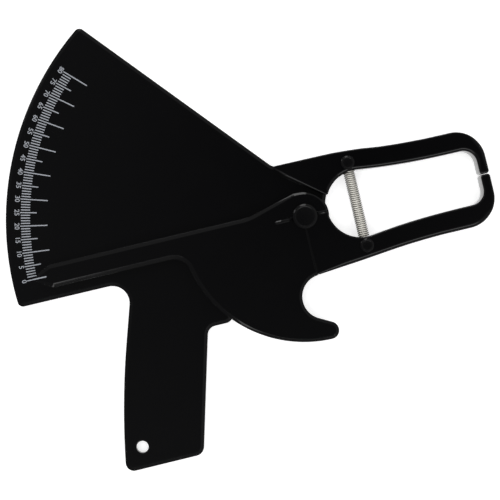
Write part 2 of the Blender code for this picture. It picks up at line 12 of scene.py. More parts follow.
import bmesh
import bpy
import numpy as np
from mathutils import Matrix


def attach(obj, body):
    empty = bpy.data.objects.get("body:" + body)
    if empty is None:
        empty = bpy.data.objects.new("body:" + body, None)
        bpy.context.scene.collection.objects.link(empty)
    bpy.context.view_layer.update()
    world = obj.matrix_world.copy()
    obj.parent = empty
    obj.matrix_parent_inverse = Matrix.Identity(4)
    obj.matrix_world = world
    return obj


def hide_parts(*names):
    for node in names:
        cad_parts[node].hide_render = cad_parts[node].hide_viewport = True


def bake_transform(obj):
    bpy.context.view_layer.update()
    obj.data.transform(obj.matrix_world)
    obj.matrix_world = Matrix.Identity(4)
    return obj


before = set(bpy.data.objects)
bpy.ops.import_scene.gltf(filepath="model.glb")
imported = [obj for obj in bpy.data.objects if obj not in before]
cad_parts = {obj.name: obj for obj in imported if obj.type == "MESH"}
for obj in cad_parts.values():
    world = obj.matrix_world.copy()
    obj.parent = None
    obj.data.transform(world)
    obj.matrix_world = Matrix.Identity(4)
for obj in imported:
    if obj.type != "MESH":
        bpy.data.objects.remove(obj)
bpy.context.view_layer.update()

MM = 0.001
print("Packed model:", sorted(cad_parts))

# %% [markdown]
# ## Camera
#
# The caliper was photographed straight from above, lying on a white table, and the camera was turned a little.
# A long lens 0.8 m over the front plane gives the slight view of the jaw's end walls. The alternative, an
# orthographic camera, would lose those walls.

# %% Camera over the table
CAMERA_TURN = 13.3
CAMERA_PLACE = np.array([-35.6, -11.7, 814.0])
SENSOR, LENS = 36, 99.3
camera_data = bpy.data.cameras.new("camera")
camera_data.sensor_width = SENSOR
camera_data.lens = LENS
camera = bpy.data.objects.new("camera", camera_data)
camera.location = CAMERA_PLACE * MM
camera.rotation_euler = (0, 0, math.radians(-CAMERA_TURN))
bpy.context.scene.collection.objects.link(camera)
bpy.context.scene.camera = camera
print("Camera lens:", camera_data.lens, "mm")

# %% [markdown]
# ## Outlines
#
# Both mouldings are plates with shaped edges, so each one starts as a flat outline. An outline is a table of
# corners, one row each: x, y and the radius of the fillet there, or 0 where the corner is only a point on a
# curve. Drawing curves by hand in edit mode would work too, but a table can be measured and changed.

# %% Directions, arcs and fillets


def way(angle):
    """Unit direction at an angle in degrees: its cosine and its sine."""
    turn = np.radians(angle)
    return np.stack([np.cos(turn), np.sin(turn)], axis=-1)


def unit(vectors):
    """Vectors divided by their own length, and left alone where the length is nothing."""
    length = np.linalg.norm(vectors, axis=-1, keepdims=True)
    return vectors / np.maximum(length, 1e-12)


def arc(centre, radius, start, end, error=0.004):
    """Points on a circle, its centre plus the radius times the direction, close enough for a small chord error."""
    step = 2 * math.degrees(math.acos(1 - error / radius))
    count = max(3, math.ceil(abs(end - start) / step))
    return np.asarray(centre) + radius * way(np.linspace(start, end, count + 1))


def plain(points):
    """Rows for points that keep no fillet: their radius is 0."""
    points = np.atleast_2d(points)
    return np.column_stack([points, np.zeros(len(points))])


def round_corners(rows, steps=12):
    """A closed counter-clockwise outline from corner rows, and the circles of its outer fillets.

    A fillet touches both sides of its corner. Its centre lies on the bisector, at the radius divided by the sine
    of the half angle, and its points turn evenly from one touching point to the other. It takes just under half
    of the shorter side at most.
    """
    rows = np.vstack(rows)
    corners, radii = rows[:, :2], rows[:, 2]
    back = np.roll(corners, 1, 0) - corners
    ahead = np.roll(corners, -1, 0) - corners
    side = np.minimum(np.linalg.norm(back, axis=1), np.linalg.norm(ahead, axis=1))
    back, ahead = unit(back), unit(ahead)
    half = np.arccos(np.clip((back * ahead).sum(1), -1, 1)) / 2
    half = np.maximum(half, 1e-6)
    radii = np.minimum(radii, 0.49 * side * np.tan(half))
    centres = corners + unit(back + ahead) * (radii / np.sin(half))[:, None]
    start = corners + back * (radii / np.tan(half))[:, None] - centres
    bend = np.sign(ahead[:, 0] * back[:, 1] - ahead[:, 1] * back[:, 0])
    turn = (bend * (math.pi - 2 * half))[:, None] * np.linspace(0, 1, steps + 1)
    c, s = np.cos(turn), np.sin(turn)
    arcs = np.stack([start[:, :1] * c - start[:, 1:] * s, start[:, :1] * s + start[:, 1:] * c], axis=-1)
    arcs += centres[:, None]
    sharp = rows[:, 2] == 0
    arcs[sharp, 0] = corners[sharp]
    keep = np.ones(arcs.shape[:2], bool)
    keep[sharp, 1:] = False
    outer = ~sharp & (bend > 0)
    return arcs[keep], np.column_stack([centres[outer], radii[outer]])


def outward(outline):
    """Direction out of a counter-clockwise outline at each point, as long as its mitre needs, and 2 at most."""
    before = unit(outline - np.roll(outline, 1, 0))
    after = unit(np.roll(outline, -1, 0) - outline)
    middle = unit(np.column_stack([before[:, 1] + after[:, 1], -before[:, 0] - after[:, 0]]))
    share = (middle * np.column_stack([after[:, 1], -after[:, 0]])).sum(1)
    return middle / np.maximum(share, 0.5)[:, None]


# %% [markdown]
# ## Surfaces
#
# A surface here is a grid of points: one direction of the grid is a profile, and the other is the way that the
# profile is carried along. That gives the slabs, the turned pins and the spring's tube from one mesh function.
# A slab's flat faces stay flat shaded, and a narrow flat ring next to each rounded edge keeps the gloss even.

# %% Grids into meshes


def grid_mesh(name, grid):
    """A closed mesh from a grid of points in millimetres: rows by columns by three.

    Neighbouring grid points make four-sided faces. The columns run round the shape, so the last one joins the
    first, and the first and last row are closed by a flat cap each.
    """
    rows, columns = grid.shape[:2]
    index = np.arange(rows * columns).reshape(rows, columns)
    low, high = index[:-1], index[1:]
    quads = np.stack([low, np.roll(low, -1, 1), np.roll(high, -1, 1), high], axis=-1).reshape(-1, 4)
    faces = [*quads.tolist(), index[0, ::-1].tolist(), index[-1].tolist()]
    mesh = bpy.data.meshes.new(name)
    mesh.from_pydata((grid.reshape(-1, 3) * MM).tolist(), [], faces)
    smooth = np.ones(len(faces), bool)
    smooth[-2:] = False
    mesh.polygons.foreach_set("use_smooth", smooth)
    mesh.update()
    return mesh


def place(name, mesh):
    """An object that shows a mesh, at the origin, unturned and unscaled."""
    piece = bpy.data.objects.new(name, mesh)
    bpy.context.scene.collection.objects.link(piece)
    return piece


def place_grid(name, flat, heights):
    """A piece from a grid of points seen from above, rows by columns by two, and their heights."""
    heights = np.broadcast_to(heights, flat.shape[:2])
    return place(name, grid_mesh(name, np.dstack([flat, heights])))


# %% [markdown]
# ### Edges
#
# A polished black plate shows by its edges. A flat face mirrors the dark overhead, and a band tilted by some angle
# mirrors what stands at twice that angle from straight up. So each kind of edge is a row of arcs with chosen
# angles: a crown rolls over slowly, a bevel is a nearly flat band at 22 to 27 degrees, and a slope a steeper one.
# A Bevel modifier would round all edges alike. A very short arc on both sides of a band keeps its shading even.

# %% Profiles of the edges
CROWN_WIDTH = 2.5
CROWN = [(0.0, 0.0, 1), (1.0, 48.0, 8), (0.09, 90.0, 3)]
BEVEL = [(0.0, 0.0, 1), (0.02, 22.0, 2), (0.02, 22.2, 1), (0.95, 27.0, 3), (0.02, 27.2, 1), (0.09, 90.0, 4)]
SLOPE = [(0.0, 0.0, 1), (0.03, 28.0, 2), (0.03, 28.2, 1), (0.95, 38.0, 4), (0.03, 38.2, 1), (0.10, 90.0, 4)]


def profile_of(turns):
    """The edge's profile as shares of its width: how far in each point lies, and how far down.

    Each row of turns is an arc: the share of the way it takes, the angle that the surface has turned to at its
    end, and its steps. The first row only gives the angle at the start. The angle grows evenly along an arc, so a
    step goes in by the length times the cosine of the angle and down by the length times its sine. Both are then
    divided by the whole way in.
    """
    parts = []
    for (_, start, _), (length, end, steps) in zip(turns, turns[1:]):
        middle = np.radians(start + (end - start) * (np.arange(steps) + 0.5) / steps)
        parts.append(np.stack([np.cos(middle), np.sin(middle)]) * length / steps)
    run = np.cumsum(np.hstack([np.zeros((2, 1)), *parts]), axis=1)
    return 1 - run[0] / run[0, -1], run[1] / run[0, -1]


# %% Plates with shaped edges
FLAT_RING = 0.06


def slab(name, rows, bottom, top, edge=CROWN_WIDTH, turns=CROWN, shallow=None):
    """A plate between two heights: the edge's profile, the wall and the edge again, carried along the outline.

    The edge's width is a number or a function of the outline. It shrinks near a tight outer fillet: there it is at
    most three quarters of the fillet's radius, plus the distance to it. Where shallow is given, the top edge's
    fall is multiplied by its share. The narrow flat ring inside the edge stays level.
    """
    outline, circles = round_corners(rows)
    away = np.linalg.norm(outline[:, None] - circles[None, :, :2], axis=2) - 0.25 * circles[:, 2]
    width = edge(outline) if callable(edge) else np.full(len(outline), float(edge))
    width = np.minimum(width, away.min(1)) if len(circles) else width
    inset, drop = profile_of(turns)
    ring = min(FLAT_RING, width.max() / 4)
    inset = np.concatenate([inset[:1], inset, inset[::-1], inset[:1]])
    extra = np.zeros(len(inset))
    extra[[0, -1]] = ring
    drop = np.concatenate([drop[:1], drop])
    fall = width if shallow is None else width * shallow(outline)
    heights = [bottom + drop[:, None] * width, top - drop[::-1, None] * fall]
    shift = inset[:, None] * width + extra[:, None]
    return place_grid(name, outline - outward(outline) * shift[..., None], np.vstack(heights))


def sharp_slab(name, rows, bottom, top):
    """A plate with square edges, for cutting: the outline at two heights."""
    outline, _ = round_corners(rows)
    return place_grid(name, np.stack([outline, outline]), np.array([[bottom], [top]]))


# %% Turned pieces
TURN_STEPS = 96


def turned(name, profile, centre=(0, 0)):
    """A turned piece: each profile point (radius, height) is carried round the axis through the centre."""
    profile = np.asarray(profile, float)
    around = way(np.arange(TURN_STEPS) * 360 / TURN_STEPS)
    return place_grid(name, np.asarray(centre) + profile[:, 0, None, None] * around, profile[:, 1:])


def rim_hole(name, centre, radius, low, high, rim=0.35):
    """A cutter for a round hole with softly broken rims: its radius grows by rim(1 - sin t) near each face."""
    t = np.linspace(0, math.pi / 2, 6)
    flare = radius + rim * (1 - np.sin(t))
    lift = rim * (1 - np.cos(t))
    bottom = np.column_stack([flare, low + lift])
    top = np.column_stack([flare[::-1], high - lift[::-1]])
    ends = [[[flare[0], low - 1]], [[flare[0], high + 1]]]
    return turned(name, np.vstack([ends[0], bottom, top, ends[1]]), centre)


# %% Uniting and cutting


def weld(mesh, distance=0.012):
    """Close a mesh's seams: merge the points closer than a distance in millimetres, and drop edges left bare.

    Its faces are then turned outwards again.
    """
    joined = bmesh.new()
    joined.from_mesh(mesh)
    bmesh.ops.remove_doubles(joined, verts=joined.verts, dist=distance * MM)
    bare = [edge for edge in joined.edges if edge.is_wire]
    bmesh.ops.delete(joined, geom=bare, context="EDGES")
    bmesh.ops.recalc_face_normals(joined, faces=joined.faces)
    joined.to_mesh(mesh)
    joined.free()


def combine(piece, tool, operation):
    """Unite a piece with a tool or cut it by the tool, with an exact Boolean that is applied at once."""
    step = piece.modifiers.new("step", "BOOLEAN")
    step.solver = "EXACT"
    step.operation = operation
    step.object = tool
    graph = bpy.context.evaluated_depsgraph_get()
    mesh = bpy.data.meshes.new_from_object(piece.evaluated_get(graph))
    piece.modifiers.clear()
    piece.data = mesh
    bpy.data.objects.remove(tool, do_unlink=True)


# %% Where lines and circles meet


def line_meets_circle(start, angle, centre, radius):
    """Where a ray from a point inside a circle leaves it: the positive root of the circle's equation on the ray."""
    direction = way(angle)
    offset = np.asarray(start, float) - centre
    along = -(offset @ direction)
    return start + direction * (along + math.sqrt(along ** 2 - offset @ offset + radius ** 2))


def meeting_angle(radius, other_radius, distance):
    """How far round a circle, from the line of centres, another circle meets it, by the law of cosines."""
    return math.degrees(math.acos((radius ** 2 + distance ** 2 - other_radius ** 2) / (2 * radius * distance)))


print("Surface helpers are ready")

# %% [markdown]
# ## Jaw arms
#
# The two arms are thick blocks that close at the tips. Between them is the opening for the skin fold, round at
# its root. One function draws either arm above the X axis, and the lower arm is its mirror image with its order
# turned round, so that it still runs counter-clockwise.

# %% Heights of the caliper's layers
PLATE = 5.5
GAP = 0.3
WASHER = 0.6
DEPTH = 14.0
LEVER_BACK = PLATE + WASHER + 2 * GAP
LEVER_FRONT = 13.0
print("Lever's plate from", round(LEVER_BACK, 2), "to", LEVER_FRONT, "mm, arms to", DEPTH, "mm")

# %% Smooth and mirrored rows


def smooth_line(points, steps=6):
    """A smooth curve through points: between two of them a cubic whose slopes come from the neighbours."""
    padded = np.vstack([2 * points[:1] - points[1:2], points, 2 * points[-1:] - points[-2:-1]])
    p0, p1, p2, p3 = padded[:-3, None], padded[1:-2, None], padded[2:-1, None], padded[3:, None]
    t = np.linspace(0, 1, steps, endpoint=False)[None, :, None]
    curve = 0.5 * (2 * p1 + (p2 - p0) * t + (2 * p0 - 5 * p1 + 4 * p2 - p3) * t ** 2)
    curve = curve + 0.5 * (3 * p1 - 3 * p2 + p3 - p0) * t ** 3
    return np.vstack([curve.reshape(-1, 2), points[-1:]])


def mirrored(rows):
    """The same rows below the X axis, in reverse order, so that they still run counter-clockwise."""
    return rows[::-1] * np.array([1, -1, 1])


# %% Outline of a jaw arm
EDGE = 1.8
ROOT = np.array([33.1, 0.0])
ROOT_RADIUS = 19.7
HALF_OPENING = 16.0
REACH = 110.0
JAW_WALL = 5.5
INNER_RADIUS = 8.0
OUTER_RADIUS = 17.5
TIP_RADIUS = 1.7
ROOT_EXIT = 83
TAPER_POWER = 2.4
ARM_ROOT_X = 17.0
UPPER_WIDTH, UPPER_RISE = 11.8, 4.65
LOWER_WIDTH, LOWER_RISE = 12.7, 4.65
UPPER_TAPER = np.array([(0, 0.96), (0.12, 0.91), (0.30, 0.69), (0.44, 0.40), (0.60, 0.19), (0.80, 0.03)])
LOWER_TAPER = np.array([(0, 1), (0.12, 0.83), (0.25, 0.61), (0.44, 0.30), (0.60, 0.12), (0.76, 0.01)])


def arm_rows(root_angle, width, rise, taper):
    """An arm above the X axis: along the opening's root, the inner side, round the jaw and back outside.

    The inner side settles from the root circle to its straight height with a power of what is left to go. The
    outer side rises towards the root by the taper's shares.
    """
    inner_x = REACH - JAW_WALL - INNER_RADIUS
    inner_start = ROOT + ROOT_RADIUS * way(ROOT_EXIT)
    share = np.linspace(0, 1, 9)[1:-1]
    inner = np.column_stack([
        inner_start[0] + (inner_x - inner_start[0]) * share,
        HALF_OPENING + (inner_start[1] - HALF_OPENING) * (1 - share) ** TAPER_POWER,
    ])
    outer_x = REACH - OUTER_RADIUS
    outer_y = HALF_OPENING + width
    outer = np.column_stack([
        ARM_ROOT_X + (outer_x - ARM_ROOT_X) * taper[::-1, 0],
        outer_y + rise * taper[::-1, 1],
    ])
    tips = [(REACH - JAW_WALL, GAP / 2, TIP_RADIUS), (REACH, GAP / 2, TIP_RADIUS)]
    return np.vstack([
        plain(arc(ROOT, ROOT_RADIUS, root_angle, ROOT_EXIT)),
        plain(inner),
        plain(arc((inner_x, HALF_OPENING - INNER_RADIUS), INNER_RADIUS, 90, 0)),
        tips,
        plain(arc((outer_x, outer_y - OUTER_RADIUS), OUTER_RADIUS, 0, 90)),
        plain(smooth_line(outer)),
    ])


print("Jaw opening:", 2 * HALF_OPENING, "mm high")

# %% [markdown]
# ## Frame moulding
#
# The frame is a flat plate 5.5 mm thick: a sector for the scale, a grip and a round plate round the pivot. The
# upper arm is a 14 mm block that is moulded onto it, and its long slanted step runs past the hub. On the real
# piece the step has a soft foot, so a concave strip is united with it where it meets the plate.

# %% Outline of the frame's plate
SECTOR = np.array([-3.2, -1.3])
SECTOR_RADIUS = 172.5
SECTOR_BOTTOM = -13.5
SECTOR_CORNER, SECTOR_CORNER_TURN = 3.2, 2.4
TOP_ANGLE = 130.88
HUB_PLATE, HUB_FOOT = 16.0, 3.0
STOP_ANGLE = -138.6
OUTER_Y = HALF_OPENING + UPPER_WIDTH + UPPER_RISE
NECK = np.array([-11.2, OUTER_Y])
NECK_LENGTH, NECK_FILLET = 6.0, 12.0
STEP_ANGLE = 142.9
STEP_DISTANCE = 16.3
HIDDEN_TURN, HIDDEN_END = 8, 23.9
GRIP_TOP = np.array([-107.6, SECTOR_BOTTOM])
GRIP_ANGLE, FOOT_ANGLE = 72.2, 80.0
BOW_START, BOW_RADIUS = -47.6, 500.0
GRIP_END = -122.4
GRIP_RIGHT = (-89.5, -122.0)
SHOULDER = (-70.0, -50.3)
GRIP_ROOT, GRIP_LEFT_FILLET, GRIP_FILLET = 10.0, 4.9, 5.5


def grip_side():
    """The grip's left side: straight at first, then bowed steeper along a large circle, and straight to its foot.

    The circle touches the straight at its start, so its centre is the radius to the right of it.
    """
    side, foot = way(GRIP_ANGLE), way(FOOT_ANGLE)
    start = GRIP_TOP + side * ((BOW_START - SECTOR_BOTTOM) / side[1])
    centre = start - BOW_RADIUS * way(GRIP_ANGLE + 90)
    bow = arc(centre, BOW_RADIUS, GRIP_ANGLE + 90, FOOT_ANGLE + 90)
    bottom = bow[-1] + foot * ((GRIP_END - bow[-1, 1]) / foot[1])
    return bow[:-1], bottom


def plate_rows():
    """The sector, the grip and the hub plate, with the end that hides inside the upper arm's block."""
    rim_top = line_meets_circle(NECK, TOP_ANGLE, SECTOR, SECTOR_RADIUS)
    rim_bottom = line_meets_circle(np.array([0, SECTOR_BOTTOM]), 180, SECTOR, SECTOR_RADIUS)
    first = math.degrees(math.atan2(*(rim_top - SECTOR)[::-1]))
    last = math.degrees(math.atan2(*(rim_bottom - SECTOR)[::-1])) + 360
    stop = way(STOP_ANGLE)
    root = ROOT_RADIUS + GAP
    hub_turn = meeting_angle(HUB_PLATE, root, ROOT[0])
    root_turn = meeting_angle(root, HUB_PLATE, ROOT[0]) - HIDDEN_TURN
    foot_turn = math.degrees(math.asin(2 * HUB_FOOT / HUB_PLATE))
    bow, grip_bottom = grip_side()
    return np.vstack([
        [(*rim_top, SECTOR_CORNER)],
        plain(arc(SECTOR, SECTOR_RADIUS, first + SECTOR_CORNER_TURN, last - SECTOR_CORNER_TURN)),
        [(*rim_bottom, SECTOR_CORNER), (*GRIP_TOP, GRIP_ROOT)],
        plain(bow),
        [(*grip_bottom, GRIP_LEFT_FILLET), (*GRIP_RIGHT, GRIP_FILLET), (*SHOULDER, GRIP_FILLET)],
        [(*(stop * (SHOULDER[1] / stop[1])), GRIP_FILLET), (*(stop * HUB_PLATE), HUB_FOOT)],
        plain(arc((0, 0), HUB_PLATE, STOP_ANGLE + foot_turn, -hub_turn - HIDDEN_TURN)),
        [(*(HUB_PLATE * way(-hub_turn)), EDGE)],
        plain(arc(ROOT, root, 180 + root_turn, STEP_ANGLE)),
        plain([(HIDDEN_END, OUTER_Y - 2 * EDGE), (2.0, OUTER_Y - 1.5 * EDGE)]),
        [(NECK[0] + NECK_LENGTH, OUTER_Y - 2 * GAP, 0), (*NECK, NECK_FILLET)],
    ])


# %% Outline of the upper arm's block
KINK_X, KINK_FILLET = -6.2, 10.0
WEDGE_FILLET, STEP_FILLET = 1.0, 1.5
foot = STEP_DISTANCE * way(STEP_ANGLE - 90)
step_way = way(STEP_ANGLE)
kink = foot + step_way * ((KINK_X - foot[0]) / step_way[0])
wedge = kink + way(TOP_ANGLE) * ((OUTER_Y - kink[1]) / way(TOP_ANGLE)[1])
nearest = foot + step_way * (step_way @ (ROOT - foot))
step_root = line_meets_circle(nearest, STEP_ANGLE, ROOT, ROOT_RADIUS)
root_angle = math.degrees(math.atan2(*(step_root - ROOT)[::-1])) - HIDDEN_TURN
upper_rows = np.vstack([
    [(*wedge, WEDGE_FILLET), (*kink, KINK_FILLET), (*step_root, STEP_FILLET)],
    arm_rows(root_angle, UPPER_WIDTH, UPPER_RISE, UPPER_TAPER),
])
print("Step of the upper arm runs from", step_root.round(1), "to", wedge.round(1))

# %% Soft foot where a block stands on a plate
FOOT_TAPER = 3.0
FOOT_SUNK = 0.4
FOOT_INSIDE = 0.6
OVERLAP = 0.02


def soft_foot(name, path, height, radius):
    """A concave strip along a path on a plate, with the wall that it softens on the path's left.

    Across the path its face is a quarter circle, r(1 - sin t) out from the wall and r(1 - cos t) up from the
    plate, less a small overlap. Its radius grows from a tenth at the path's ends to full size over the taper.
    """
    run = np.concatenate([[0], np.cumsum(np.linalg.norm(np.diff(path, axis=0), axis=1))])
    share = np.clip(np.minimum(run, run[-1] - run) / FOOT_TAPER, 0, 1)
    size = radius * (0.1 + 0.9 * share * share * (3 - 2 * share))
    along = unit(np.gradient(path, axis=0))
    right = np.column_stack([along[:, 1], -along[:, 0]])
    t = np.linspace(math.pi / 2, 0, 8)
    out = size[:, None] * (1 - np.sin(t)) - OVERLAP
    up = size[:, None] * (1 - np.cos(t)) - OVERLAP
    inside = np.full((len(path), 1), -FOOT_INSIDE)
    low = np.full((len(path), 1), -FOOT_SUNK)
    out = np.hstack([inside, inside, out, out[:, -1:]])
    up = np.hstack([low, up[:, :1], up, low])
    return place_grid(name, path[:, None] + right[:, None] * out[..., None], height + up)


def even_path(points, step=0.5):
    """Points at even steps along a path of straight pieces, by interpolating its running length."""
    run = np.concatenate([[0], np.cumsum(np.linalg.norm(np.diff(points, axis=0), axis=1))])
    even = np.linspace(0, run[-1], math.ceil(run[-1] / step) + 1)
    return np.column_stack([np.interp(even, run, points[:, 0]), np.interp(even, run, points[:, 1])])


# %% Spring seat in an arm
SPRING_X, SPRING_PIN_Y = 31.1, 24.6
WIRE = 0.37
LOOP_RADIUS = 2.8
SHANK = LOOP_RADIUS - WIRE - GAP
SLOT_HALF, SLOT_SWING, SLOT_FILLET = 3.8, 7.2, 1.2


def cut_spring_seat(arm, side):
    """The slot that the spring's loop swings in, and the bore for its pin."""
    inner, outer = HALF_OPENING - SLOT_HALF, SPRING_PIN_Y + LOOP_RADIUS + WIRE + 2 * GAP
    near, far = SPRING_X - SLOT_SWING, SPRING_X + LOOP_RADIUS + WIRE + 2 * GAP
    rows = np.array([(x, y, SLOT_FILLET) for x, y in ((near, inner), (far, inner), (far, outer), (near, outer))])
    rows = rows if side > 0 else mirrored(rows)
    combine(arm, sharp_slab("slot", rows, DEPTH / 2 - SLOT_HALF, DEPTH / 2 + SLOT_HALF), "DIFFERENCE")
    combine(arm, rim_hole("bore", (SPRING_X, side * SPRING_PIN_Y), SHANK + GAP, 0, DEPTH), "DIFFERENCE")


# %% Edge of the frame
PLATE_EDGE = 2.0


def upper_edge(outline):
    """Edge width of the upper arm: 1 mm outside, easing to 2.2 mm from y 24 to 20, and 1 mm more left of x 2."""
    return 1.0 + 1.2 * np.clip((24.0 - outline[:, 1]) / 4, 0, 1) + 1.0 * (outline[:, 0] < 2.0)


# %% Frame moulding
PIVOT_RADIUS = 4.0
STEP_FOOT = 0.35
RECESS_RADIUS, RECESS_DEPTH = 7.1, 2.2
HANGING_HOLE, HANGING_RADIUS = (-123.5, -109.6), 3.5

frame_piece = slab("frame_moulding", plate_rows(), 0, PLATE, PLATE_EDGE, BEVEL)
combine(frame_piece, slab("upper_arm", upper_rows, 0, DEPTH, upper_edge), "UNION")
step_outline, _ = round_corners(upper_rows)
# the step's points: from the wedge's fillet past the kink to the fillet at the opening
step_path = even_path(step_outline[8:27])
combine(frame_piece, soft_foot("step_foot", step_path, PLATE, STEP_FOOT), "UNION")
combine(frame_piece, rim_hole("bore", (0, 0), PIVOT_RADIUS + GAP, -5, PLATE), "DIFFERENCE")
combine(frame_piece, turned("recess", [(RECESS_RADIUS, -1), (RECESS_RADIUS, RECESS_DEPTH)]), "DIFFERENCE")
combine(frame_piece, rim_hole("hang", HANGING_HOLE, HANGING_RADIUS, 0, PLATE, rim=0.6), "DIFFERENCE")
cut_spring_seat(frame_piece, 1)
weld(frame_piece.data)
print("Frame moulding:", len(frame_piece.data.polygons), "faces")

# %% [markdown]
# ## Lever moulding
#
# The lever lies on a washer over the frame. Its pointer, hub and trigger are one plate, and the lower arm's block
# is a millimetre prouder. Its raised edge runs from the pivot straight down to the trigger's finger notch, and a
# short rib runs along the jaw line on both sides of the pivot. Behind the hub the block is cut away for the frame.

# %% Outline of the lever's plate
HUB = 14.1
NECK_ANGLE, NECK_LINE, NECK_BEND = 14.7, 14.77, 30.0
SWELL_START = 84
POINTER_TOP, POINTER_BOTTOM = 6.75, -6.5
POINTER_TIP, TIP_FILLET = (-162.6, 0.35), 1.2
SHOULDER_X, SHOULDER_FILLET = -151.9, 3.0
TRIGGER, TRIGGER_GROWTH, GROWTH_TURN = 73.0, 0.6, 69
TRIGGER_ROOT = 10.0
HOOK_ANGLE = -90.7
HOOK_RADIUS = 5.1
NOTCH = np.array([0.5, -48.0])
NOTCH_RADIUS = 13.0
NOTCH_EXIT, NOTCH_TURN = 94.7, 30
HIDDEN_LOW, HIDDEN_HIGH = -42, -26
RELIEF_RADIUS, RELIEF_EDGE = 17.2, 0.8
LOWER_SIDE = -(HALF_OPENING + LOWER_WIDTH)
exit_point = NOTCH + NOTCH_RADIUS * way(NOTCH_EXIT)


def lever_rows():
    """The hub, the pointer and the trigger, with the end that hides inside the lower arm's block.

    The hub's radius swells to the neck's line with the square of the turn past the swell's start, and the
    trigger's grows evenly away from the hook. The hook's round end and the finger notch are two circles joined by
    the straight line that touches both. It leaves the line of centres by the angle whose cosine is the sum of the
    radii over the centres' distance.
    """
    tangent = NECK_ANGLE + 90
    neck_foot = NECK_LINE * way(tangent)
    neck_x = neck_foot[0] - (neck_foot[1] - POINTER_TOP) / math.tan(math.radians(NECK_ANGLE))
    hub_angles = np.linspace(-meeting_angle(HUB, ROOT_RADIUS, ROOT[0]), tangent, 90)
    swell = np.clip((hub_angles - SWELL_START) / (tangent - SWELL_START), 0, 1) ** 2
    hub_radii = HUB + (NECK_LINE - HUB) * swell
    reach = TRIGGER + TRIGGER_GROWTH + TRIGGER_ROOT
    blend_turn = math.degrees(math.asin((TRIGGER_ROOT - POINTER_BOTTOM) / reach))
    blend_centre = -reach * way(blend_turn)
    rim_angles = np.linspace(blend_turn - 180, HOOK_ANGLE, 90)[:-1]
    rim_radii = TRIGGER + TRIGGER_GROWTH * np.clip((HOOK_ANGLE - rim_angles) / GROWTH_TURN, 0, 1)
    hook = (TRIGGER - HOOK_RADIUS) * way(HOOK_ANGLE)
    between = NOTCH - hook
    lean = math.degrees(math.acos((HOOK_RADIUS + NOTCH_RADIUS) / np.hypot(*between)))
    facing = math.degrees(math.atan2(between[1], between[0])) - lean
    return np.vstack([
        plain(hub_radii[:, None] * way(hub_angles)),
        [(neck_x, POINTER_TOP, NECK_BEND), (SHOULDER_X, POINTER_TOP, SHOULDER_FILLET)],
        [(*POINTER_TIP, TIP_FILLET), (SHOULDER_X, POINTER_BOTTOM, SHOULDER_FILLET)],
        plain(arc(blend_centre, TRIGGER_ROOT, 90, blend_turn)[:-1]),
        plain(rim_radii[:, None] * way(rim_angles)),
        plain(arc(hook, HOOK_RADIUS, HOOK_ANGLE, facing)),
        plain(arc(NOTCH, NOTCH_RADIUS, facing - 180, NOTCH_EXIT - 360)),
        plain(exit_point + way(NOTCH_TURN) * 2 * EDGE),
        plain([(HUB / 2, LOWER_SIDE), (HIDDEN_END, LOWER_SIDE + EDGE)]),
        plain([(RELIEF_RADIUS + 2 * EDGE) * way(HIDDEN_LOW), HUB * way(HIDDEN_HIGH)]),
    ])


# %% Outline of the lower arm's block
RAISED_EDGE = -1.0
AXIS_GAP = 0.5
LOWER_ROOT_ANGLE = 172
notch_top = exit_point[1] + GAP / 3
lower_rows = mirrored(np.vstack([
    [(RAISED_EDGE, AXIS_GAP, 0.5), (ROOT[0] - ROOT_RADIUS, AXIS_GAP, 0.5)],
    arm_rows(LOWER_ROOT_ANGLE, LOWER_WIDTH, LOWER_RISE, LOWER_TAPER),
    [(RAISED_EDGE, -notch_top, EDGE)],
]))
print("Lower arm:", len(lower_rows), "outline rows")

# %% Outline of the relief behind the hub
relief_angle = -math.degrees(math.acos(RELIEF_EDGE / RELIEF_RADIUS))
relief_rows = np.vstack([
    plain(arc((0, 0), RELIEF_RADIUS, relief_angle, 0)),
    plain([(RELIEF_RADIUS, RELIEF_RADIUS), (-RELIEF_RADIUS, RELIEF_RADIUS)]),
    plain([(-RELIEF_RADIUS, NOTCH[1]), (RELIEF_EDGE, NOTCH[1])]),
])
print("Relief starts at", round(relief_angle, 1), "degrees")

# %% [markdown]
# ### The lever's edge
#
# On the real lever the bevel isn't the same all round. It is widest along the pointer and narrower round the hub
# and under the trigger, and it comes down less at the pointer's tip. Functions of the outline give the width and
# the share of the fall at each point, which one bevel with one width couldn't.

# %% Width of the lever's edges


def lever_edge(outline):
    """Edge width of the plate, by x: 2.35 mm along the pointer, 1.3 mm round the hub, 1.75 mm below the trigger."""
    x, above = outline[:, 0], outline[:, 1] > 0
    upper = np.interp(x, [-60, -30, -14, -2], [2.35, 2.1, 2.1, 1.3])
    return np.where(above, upper, np.interp(x, [-70, -45], [2.35, 1.75]))


def lower_edge(outline):
    """Edge width of the lower arm: 2.5 mm along its outer side, easing to 1.2 mm inside from y -24 to -21."""
    return 1.2 + 1.3 * np.clip((-21.0 - outline[:, 1]) / 3, 0, 1)


# %% Fall of the lever's edges


def lever_fall(outline):
    """Share of the bevel's fall: 1.4 round the hub, 0.8 under the trigger, and 0.15 to 0.75 at the pointer's tip."""
    x, y = outline.T
    tip = np.clip((-150.5 - x) / 2, 0, 1)
    hub = np.clip((x + 9) / 6, 0, 1) * (y > 5)
    under = np.clip((-40 - y) / 12, 0, 1)
    return 1 + 0.4 * hub - 0.2 * under - tip * np.where(y < POINTER_TIP[1], 0.85, 0.25)


def shallow_edge(outline):
    """Share of the arm's fall: a fifth along the raised edge below the pivot, and all of it from 2.5 mm beside."""
    return 0.2 + 0.8 * np.clip((outline[:, 0] - RAISED_EDGE - 0.6) / 1.9, 0, 1)


